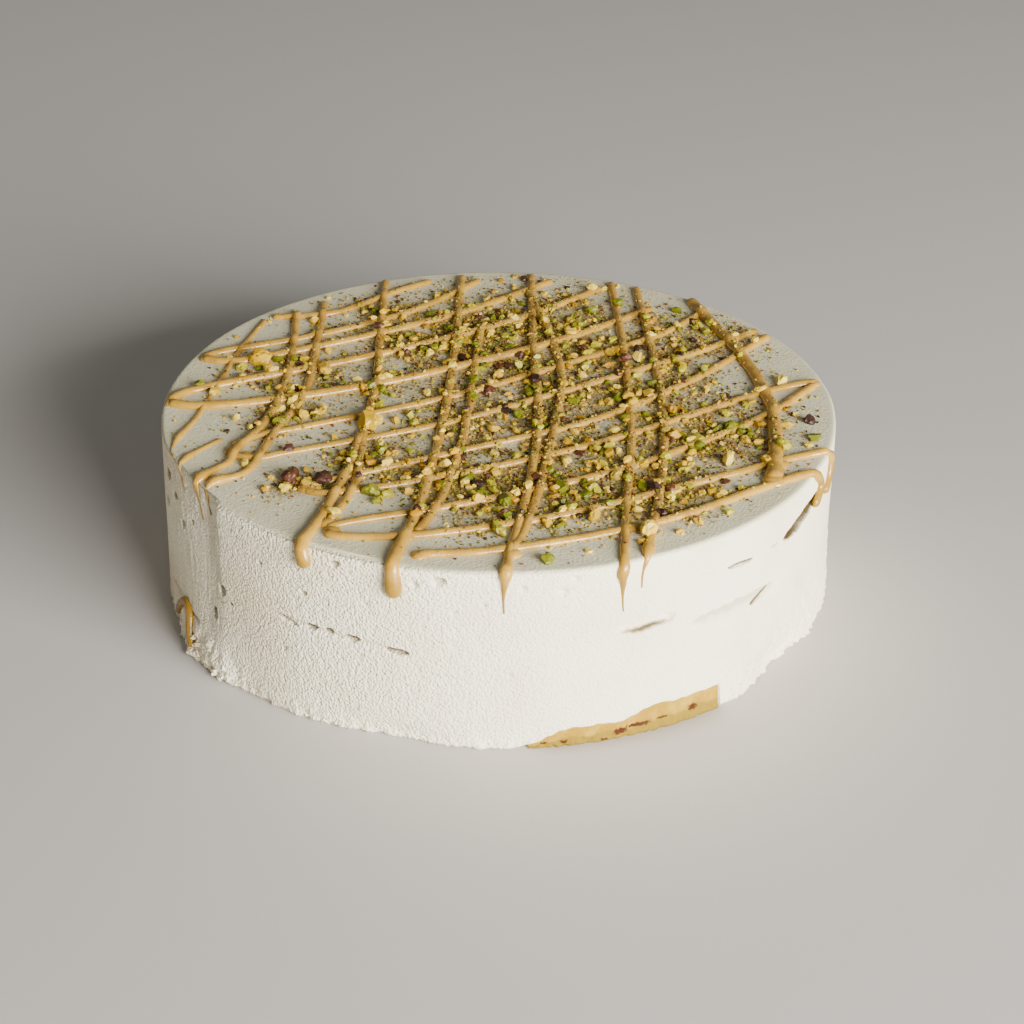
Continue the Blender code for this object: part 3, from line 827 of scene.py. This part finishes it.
def strand(number, width, end_width, points, under):
    """One strand's bead, raised where it crosses strands that were laid before it."""
    route = smooth_route(points, STRAND_STEP)
    seed = number * STRAND_SEED
    lengths = [0.0]
    for (a, _), (b, _) in zip(route, route[1:]):
        lengths.append(lengths[-1] + (b - a).length)
    stations = []
    for (point, share), run in zip(route, lengths):
        wobble = noise.noise(Vector((run / WOBBLE_LENGTH, seed, 0)))
        fine = noise.noise(Vector((run / FINE_LENGTH, seed, 9)))
        half = FULLER * (width + (end_width - width) * share ** 4) / 2
        if end_width < THREAD_WIDTH:
            to_end = (lengths[-1] - run) / THREAD_LENGTH
            spread = min(1.0, max(0.0, (to_end - THREAD_FROM) / THREAD_OVER))
            tip, taper, full = THREAD_SHARES
            half = FULLER * width / 2 * (tip + taper * min(1.0, to_end) + full * spread)
            half *= 1 + DROP_SWELL * math.exp(-((to_end - DROP_AT) / DROP_REACH) ** 2)
        half *= 1 + WIDTH_WOBBLE * (wobble + 0.5 * fine)
        half *= tip_share(run, half) * tip_share(lengths[-1] - run, half)
        half = max(half, THIN_TIP)
        shift = PATH_WOBBLE * noise.noise(Vector((run / PATH_LENGTH, seed, 20)))
        middle, facing = skin(point.x + shift, point.y + shift)
        lift = BEAD_LIFT * 2 * half * MM
        if under:
            _, _, gap = under.find((point.x, point.y, 0))
            lift += CROSSING_RISE * math.exp(-(gap / CROSSING_REACH) ** 2)
        stations.append([middle + facing * lift, None, facing, half * MM,
                         2 * half * BEAD_HEIGHT * MM])
    for i, station in enumerate(stations):
        ahead = stations[min(i + 1, len(stations) - 1)][0]
        behind = stations[max(i - 1, 0)][0]
        station[1] = (ahead - behind).normalized()
    return bead(stations), route


def pool(x, y, half_width):
    """A pool of sauce: a low dome."""
    middle, facing = skin(x, y)
    shape = bmesh.new()
    bmesh.ops.create_uvsphere(shape, u_segments=POOL_SIDES, v_segments=POOL_SIDES // 2,
                              radius=half_width * MM)
    bmesh.ops.scale(shape, vec=(1, 1, POOL_FLATNESS), verts=shape.verts)
    turn = Vector((0, 0, 1)).rotation_difference(facing).to_matrix().to_4x4()
    bmesh.ops.transform(shape, matrix=Matrix.Translation(middle) @ turn, verts=shape.verts)
    return shape


def hung(azimuth, height):
    """Where a point of the side lies in the flat layout."""
    rim = CAKE_RADIUS + side_form(azimuth, CAKE_HEIGHT)
    past = RIM_ROUND * math.pi / 2 + CAKE_HEIGHT - RIM_ROUND - height * MM
    place = polar(azimuth, (rim - RIM_ROUND + past) / MM, 0)
    return (place.x, place.y)


def gather(shapes):
    """Several shapes as one, which frees them."""
    whole = bmesh.new()
    for shape in shapes:
        mesh = bpy.data.meshes.new("part")
        shape.to_mesh(mesh)
        shape.free()
        whole.from_mesh(mesh)
        bpy.data.meshes.remove(mesh)
    return whole


sauce_shapes = []
laid = []
for number, laid_first in enumerate(ACROSS):
    shape, route = strand(number, *laid_first, None)
    sauce_shapes.append(shape)
    laid += [point for point, _ in route]
laid_tree = KDTree(len(laid))
for index, point in enumerate(laid):
    laid_tree.insert((point.x, point.y, 0), index)
laid_tree.balance()
for number, laid_over in enumerate(DOWN, len(ACROSS)):
    sauce_shapes.append(strand(number, *laid_over, laid_tree)[0])
foot_smear = [hung(*place) for place in FOOT_SMEAR]
sauce_shapes.append(strand(SMEAR_NUMBER, *SMEAR_WIDTHS, foot_smear, None)[0])
sauce_shapes += [pool(*place) for place in POOLS]
sauce_shape = gather(sauce_shapes)
sauce_cover = BVHTree.FromBMesh(sauce_shape)
sauce_dust = []
for vertex in sauce_shape.verts:
    facing_up = max(0.0, vertex.normal.z)
    laid_on = DUST_LEAST + DUST_MORE * strewn(vertex.co.x / MM, vertex.co.y / MM)
    sauce_dust.append(laid_on * facing_up)
sauce = finished("caramel_sauce", sauce_shape, "cream_cake")
attribute(sauce, "dust", sauce_dust)

SAUCE_GOLD = paint(184, 143, 54)
SAUCE_DEEP = paint(166, 124, 40)
SAUCE_DUSTED = paint(142, 112, 52)
SAUCE_HUNG_SHADE = paint(148, 113, 26)
SAUCE_BLOTCH = 6 * MM
SAUCE_BUMP = 0.15 * MM

caramel = Finish("caramel", Roughness=0.3, Specular_IOR_Level=0.5, Coat_Weight=0.2,
                 Coat_Roughness=0.15)
caramel_blotch = caramel.noise(SAUCE_BLOTCH, 2.0)
caramel_colour = caramel.mix(caramel.step(caramel_blotch, 0.35, 0.7), SAUCE_GOLD, SAUCE_DEEP)
# Painted shade: the sauce hanging on the side is painted darker than on top, offsetting the
# strong low light on the side
hung_shade_share = caramel.step(caramel.add("SeparateXYZ", inputs={0: caramel.place}, output=2),
                          CAKE_HEIGHT - MM, CAKE_HEIGHT - 5 * MM)
caramel_colour = caramel.mix(hung_shade_share, caramel_colour, SAUCE_HUNG_SHADE)
sauce_speckle = caramel.noise(POWDER_SIZE, 3.0, 0.65)
sauce_powder = caramel.step(sauce_speckle + caramel.read("dust") * 0.5, 0.55, 0.80)
caramel_colour = caramel.mix(sauce_powder * 0.65, caramel_colour, SAUCE_DUSTED)
caramel_roughness = caramel.step(sauce_powder, 0, 1) * 0.4 + 0.2
caramel.done(sauce, Base_Color=caramel_colour, Roughness=caramel_roughness,
             Normal=caramel.bump(sauce_speckle * sauce_powder, SAUCE_BUMP))


# The chopped pistachios: broken kernels strewn by hand over the wet sauce. The largest
# are listed one by one; the rest fall by a seeded rule. Each is a chunk with a few broken
# faces, pressed a little into the cream.
PALE, GREEN, OCHRE, SKIN = "pale_kernels", "green_kernels", "ochre_kernels", "skin_flakes"

# Kernels given one by one: place and size in mm, and kind
LARGE_NUTS = [
    (-38, -15, 8.5, OCHRE), (0, -78, 6.8, GREEN), (41, -79, 6.6, PALE),
    (27, -70, 5.4, PALE), (49, -55, 4.6, PALE), (18, -54, 5.4, GREEN),
    (26, -53, 4.4, GREEN), (32, -32, 4.4, OCHRE), (66, -37, 5.8, PALE),
    (77, -35, 4.6, PALE), (82, -30, 5.4, GREEN), (92, -22, 5.0, GREEN),
    (2, -61, 5.4, GREEN), (-35, -56, 6.2, GREEN), (-45, -69, 5.0, PALE),
    (-58, -48, 6.8, SKIN), (-49, -50, 5.4, SKIN), (-73, 29, 7.0, OCHRE),
    (-69, 21, 4.6, PALE), (-85, 7, 4.2, PALE), (-53, 23, 5.6, PALE),
    (-62, 10, 4.2, PALE), (-65, -4, 4.6, PALE), (79, 8, 4.4, PALE),
    (43, 32, 4.6, PALE), (13, -94, 4.6, GREEN), (86, 15, 5.2, PALE),
    (51, -22, 4.8, PALE), (65, -15, 4.8, GREEN), (-64, -13, 4.8, GREEN),
]
NUT_SEED = 20
NUT_COUNT = 56
NUT_REACH = 95
NUT_SPACING = 1.15
STREWN_CENTRE = (14, 2)
STREWN_REACH = (74, 82)
NUT_SUNK = 0.132
NUT_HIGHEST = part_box("cream_cake")[1][2] + 1.373 * MM
SINKING_SIZE = 5.0
SINKING = 0.5
CLEAN_SAUCE = 0.5
BARE_LIFT = 0.3 * MM
BITS = 1400
BIT_REACH = 96
BIT_STRAYS = 0.015
BIT_SUNK = 0.12
CRUMBS = 21000
CRUMB_REACH = 97
CRUMB_STRAYS = 0.01
CRUMB_RAISED = 0.18
CRUMB_FORMS = 24

# Smallest and largest size in mm; the higher the last number, the more small ones
NUT_SIZES = (2.6, 4.2, 2)
BIT_SIZES = (1.1, 4.2, 2.6)
CRUMB_SIZES = (0.34, 1.20, 2.5)
KIND_SHARES = [(PALE, 0.38), (GREEN, 0.35), (OCHRE, 0.17), (SKIN, 0.10)]

# How each sort of chunk is broken: finer faces, flat broken faces and unevenness
NUT_FORM = (3, 4, 0.34)
BIT_FORM = (2, 2, 0.55)
CRUMB_FORM = (1, 0, 0.6)
CREAM_FORM = (2, 1, 0.6)
CHUNK_CUT = (0.26, 0.42)
CHUNK_WIDE = (0.6, 0.9)
CHUNK_HIGH = (0.5, 0.72)
CHUNK_TIP = 0.35
CHUNK_LUMPS = 2.6
CHUNK_GRAIN = 7
CHUNK_GRAINY = 0.45


def surface_height(x, y):
    """How high the sauce or the cream is at this place on top."""
    hit, _, _, _ = sauce_cover.ray_cast(Vector((x * MM, y * MM, 0.1)), Vector((0, 0, -1)))
    return max(CAKE_HEIGHT, hit.z) if hit else CAKE_HEIGHT


def size_drawn(draw, smallest, largest, fineness):
    """A chunk's size in mm, drawn from its range."""
    return smallest + (largest - smallest) * draw.random() ** fineness


def nut_places():
    """The kernels that show from a step away: the listed ones, then the rule's."""
    draw = random.Random(NUT_SEED)
    places = [(x, y, size) for x, y, size, _ in LARGE_NUTS]
    while len(places) < len(LARGE_NUTS) + NUT_COUNT:
        x, y = draw.uniform(-NUT_REACH, NUT_REACH), draw.uniform(-NUT_REACH, NUT_REACH)
        size = size_drawn(draw, *NUT_SIZES)
        across = (x - STREWN_CENTRE[0]) / STREWN_REACH[0]
        along = (y - STREWN_CENTRE[1]) / STREWN_REACH[1]
        if draw.random() > max(0.0, 1.0 - (across ** 2 + along ** 2) ** 2):
            continue
        if all(math.hypot(x - a, y - b) > NUT_SPACING * (size + c) / 2 for a, b, c in places):
            places.append((x, y, size))
    return places


def open_place(draw, reach, strays):
    """A place on top where the mix was strewn, less often on the sauce."""
    half = reach + 1
    while True:
        x, y = draw.uniform(-half, half), draw.uniform(-half, half)
        if math.hypot(x, y) > reach or draw.random() > strewn(x, y) + strays:
            continue
        on_sauce = surface_height(x, y) > CAKE_HEIGHT + BARE_LIFT
        if not on_sauce or draw.random() >= CLEAN_SAUCE:
            return x, y


def chunk(size, draw, subdivisions, cuts, unevenness):
    """A broken bit of kernel: an uneven egg with a few flat broken faces."""
    shape = bmesh.new()
    bmesh.ops.create_icosphere(shape, subdivisions=subdivisions, radius=0.5)
    seed = Vector([draw.uniform(-50, 50) for _ in range(3)])
    for vertex in shape.verts:
        ragged = noise.noise(vertex.co * CHUNK_LUMPS + seed)
        ragged += CHUNK_GRAINY * noise.noise(vertex.co * CHUNK_GRAIN + seed)
        vertex.co *= 1 + unevenness * ragged
    for _ in range(cuts):
        facing = Vector([draw.gauss(0, 1) for _ in range(3)]).normalized()
        cut = bmesh.ops.bisect_plane(shape, geom=shape.verts[:] + shape.edges[:] + shape.faces[:],
                                     plane_co=facing * draw.uniform(*CHUNK_CUT),
                                     plane_no=facing, clear_outer=True)
        rim = [item for item in cut["geom_cut"] if isinstance(item, bmesh.types.BMEdge)]
        if rim:
            bmesh.ops.contextual_create(shape, geom=rim)
    wide, high = size * draw.uniform(*CHUNK_WIDE), size * draw.uniform(*CHUNK_HIGH)
    bmesh.ops.scale(shape, vec=(size * MM, wide * MM, high * MM), verts=shape.verts)
    turn = Matrix.Rotation(draw.uniform(0, math.tau), 4, 'Z')
    tip = Matrix.Rotation(draw.gauss(0, CHUNK_TIP), 4, 'X')
    bmesh.ops.transform(shape, matrix=turn @ tip, verts=shape.verts)
    bmesh.ops.triangulate(shape, faces=shape.faces[:])
    return shape


def as_arrays(shape):
    """A shape's corners and triangles as arrays, which frees it."""
    shape.verts.index_update()
    corners = numpy.array([vertex.co[:] for vertex in shape.verts])
    faces = numpy.array([[vertex.index for vertex in face.verts] for face in shape.faces])
    shape.free()
    return corners, faces


def scattered(name, chunks):
    """One piece of many chunks, each given as corners, triangles and its own tone."""
    corners, faces, tones, count = [], [], [], 0
    for points, triangles, tone in chunks:
        corners.append(points)
        faces.append(triangles + count)
        tones += [tone] * len(points)
        count += len(points)
    mesh = bpy.data.meshes.new(name)
    mesh.from_pydata(numpy.concatenate(corners), [], numpy.concatenate(faces).tolist())
    piece = placed(name, mesh, "cream_cake")
    attribute(piece, "tone", tones)
    return piece


def kind_drawn(draw, shares):
    """A kind of nut or crumb, each as often as it is in the mix."""
    at = draw.random()
    for kind, share in shares:
        at -= share
        if at < 0:
            return kind
    return shares[0][0]


nut_draw = random.Random(31)
heaps = {kind: [] for kind, _ in KIND_SHARES}
for index, (x, y, size) in enumerate(nut_places()):
    kind = LARGE_NUTS[index][3] if index < len(LARGE_NUTS) else kind_drawn(nut_draw, KIND_SHARES)
    corners, faces = as_arrays(chunk(size, nut_draw, *NUT_FORM))
    sunk = 0.0 if size > SINKING_SIZE else SINKING
    rest = surface_height(x, y) * (1 - sunk) + CAKE_HEIGHT * sunk
    lift = rest - corners[:, 2].min() - NUT_SUNK * size * MM
    lift = min(lift, NUT_HIGHEST - corners[:, 2].max())
    heaps[kind].append((corners + (x * MM, y * MM, lift), faces, nut_draw.random()))
for _ in range(BITS):
    x, y = open_place(nut_draw, BIT_REACH, BIT_STRAYS)
    size = size_drawn(nut_draw, *BIT_SIZES)
    corners, faces = as_arrays(chunk(size, nut_draw, *BIT_FORM))
    lift = surface_height(x, y) - corners[:, 2].min() - BIT_SUNK * size * MM
    kind = kind_drawn(nut_draw, KIND_SHARES)
    heaps[kind].append((corners + (x * MM, y * MM, lift), faces, nut_draw.random()))
pieces_of = {kind: scattered(kind, heap) for kind, heap in heaps.items()}

# The crumbs: what the chopping left finer than a grain of rice, of three colours
crumb_draw = random.Random(47)
crumb_forms = [as_arrays(chunk(1.0, crumb_draw, *CRUMB_FORM)) for _ in range(CRUMB_FORMS)]
CRUMB_SHARES = [("green_crumbs", 0.40), ("tan_crumbs", 0.42), ("dark_crumbs", 0.18)]
crumb_heaps = {name: [] for name, _ in CRUMB_SHARES}
for _ in range(CRUMBS):
    x, y = open_place(crumb_draw, CRUMB_REACH, CRUMB_STRAYS)
    corners, faces = crumb_draw.choice(crumb_forms)
    size = size_drawn(crumb_draw, *CRUMB_SIZES)
    lift = surface_height(x, y) + CRUMB_RAISED * size * MM
    heap = crumb_heaps[kind_drawn(crumb_draw, CRUMB_SHARES)]
    heap.append((corners * size + (x * MM, y * MM, lift), faces, crumb_draw.random()))
for name, heap in crumb_heaps.items():
    pieces_of[name] = scattered(name, heap)


# Each kind's finish: light, dark and other tone, the other's share, and roughness
KERNEL_LOOKS = {
    PALE: ((218, 190, 74), (186, 148, 32), (146, 136, 16), 0.06, 0.42),
    GREEN: ((166, 154, 28), (98, 102, 8), (84, 40, 24), 0.06, 0.42),
    OCHRE: ((198, 158, 8), (160, 114, 4), (110, 62, 14), 0.08, 0.40),
    SKIN: ((78, 40, 20), (42, 20, 14), (150, 122, 40), 0.08, 0.50),
    "green_crumbs": ((150, 138, 30), (86, 92, 10), (64, 78, 10), 0.05, 0.55),
    "tan_crumbs": ((194, 156, 60), (134, 98, 28), (112, 70, 22), 0.05, 0.55),
    "dark_crumbs": ((116, 54, 20), (64, 30, 18), (50, 22, 16), 0.05, 0.55),
}
KERNEL_STREAK = 1.6 * MM
KERNEL_FINE = 0.5 * MM
KERNEL_PATCH = 2.4 * MM
KERNEL_BUMP = 0.25 * MM

# The waxy broken kernel: its own tone for each chunk, with patches of another
for name, (light, dark, other, other_share, roughness) in KERNEL_LOOKS.items():
    kernel = Finish(name, Roughness=roughness, Specular_IOR_Level=0.45)
    streak = kernel.noise(KERNEL_STREAK, 3.0, 0.6)
    fine = kernel.noise(KERNEL_FINE, 2.0)
    toned = kernel.step(kernel.read("tone") + streak * 0.6 - 0.3, 0.2, 0.8)
    patched = kernel.step(kernel.noise(KERNEL_PATCH, 2.0), 0.70 - other_share,
                          0.78 - other_share)
    colour = kernel.mix(patched, kernel.mix(toned, paint(*light), paint(*dark)), paint(*other))
    kernel.done(pieces_of[name], Base_Color=colour,
                Normal=kernel.bump(streak + fine * 0.4, KERNEL_BUMP))


# Cream crumbs broken off along the foot: at the right end of the shown sponge, and at the
# left where the ring tore the cream as it came off
# Each break: azimuth and spread in degrees, reach up in mm, largest crumb in mm, count
FOOT_BREAKS = [
    (-47.6, 1.2, 2.2, 3.6, 14), (-147, 4.5, 3.0, 4.4, 20), (-147, 5.5, 3.5, 2.2, 26),
    (-142, 1.0, 0.6, 4.4, 4), (-25, 13.0, 6.0, 1.4, 40), (-108, 14.0, 1.0, 1.6, 34),
]
CREAM_SUNK = 0.25
CLEAR_OF_SPONGE = 2

cream_crumbs = []
for at, spread, reach, largest, count in FOOT_BREAKS:
    for _ in range(count):
        azimuth = crumb_draw.gauss(at, spread)
        size = crumb_draw.uniform(0.3, 1.0) * largest
        height = (size / 2 + abs(crumb_draw.gauss(0, reach))) * MM
        corners, faces = as_arrays(chunk(size, crumb_draw, *CREAM_FORM))
        out = CAKE_RADIUS + side_form(azimuth, height) - CREAM_SUNK * size * MM
        if not SHOWN_FROM + CLEAR_OF_SPONGE < azimuth < SHOWN_TO:
            cream_crumbs.append((corners + polar(azimuth, out, height)[:], faces, 0.0))
foot_crumbs = scattered("cream_crumbs", cream_crumbs)
foot_crumbs.data.materials.append(cream.material)


# The floor, the light and the camera: a plain pale floor, a low window at the front
# right, and the photo's own angle
FLOOR_HALF = 3.0
floor_shape = bmesh.new()
bmesh.ops.create_grid(floor_shape, x_segments=1, y_segments=1, size=FLOOR_HALF)
floor_mesh = bpy.data.meshes.new("floor")
floor_shape.to_mesh(floor_mesh)
floor_shape.free()
floor = bpy.data.objects.new("floor", floor_mesh)
bpy.context.scene.collection.objects.link(floor)
Finish("pale_floor", Roughness=0.7).done(floor, Base_Color=paint(190, 186, 184))

world = bpy.data.worlds.new("soft_room")
world.use_nodes = True
world.node_tree.nodes["Background"].inputs["Color"].default_value = (1.0, 0.98, 0.90, 1)
world.node_tree.nodes["Background"].inputs["Strength"].default_value = 0.19
bpy.context.scene.world = world


def area_light(name, azimuth, elevation, distance, size, power, colour):
    """A square soft light aimed at the middle of the cake."""
    light = bpy.data.lights.new(name, 'AREA')
    light.size = size
    light.energy = power
    light.color = colour
    lamp = bpy.data.objects.new(name, light)
    rise = math.radians(elevation)
    aim = Vector((0, 0, CAKE_HEIGHT / 2))
    lamp.location = aim + polar(azimuth, distance * math.cos(rise), distance * math.sin(rise))
    lamp.rotation_euler = (aim - lamp.location).to_track_quat('-Z', 'Y').to_euler()
    bpy.context.scene.collection.objects.link(lamp)


area_light("window", -54, 10, 1.6, 1.1, 156, (1.0, 0.97, 0.90))
area_light("fill", 190, 14, 1.8, 1.2, 2, (1.0, 0.88, 0.66))

CAMERA_PLACE = Vector((0.0, -0.6957, 0.4002))
CAMERA_AIM = Vector((0.0044, 0.0, 0.0197))
CAMERA_ROLL = 0.0056
camera_data = bpy.data.cameras.new("camera")
camera_data.lens = 91.4
camera_data.sensor_width = 36
camera = bpy.data.objects.new("camera", camera_data)
camera.location = CAMERA_PLACE
camera_turn = (CAMERA_AIM - CAMERA_PLACE).to_track_quat('-Z', 'Y').to_matrix().to_4x4()
camera.rotation_euler = (camera_turn @ Matrix.Rotation(CAMERA_ROLL, 4, 'Z')).to_euler()
bpy.context.scene.collection.objects.link(camera)
bpy.context.scene.camera = camera
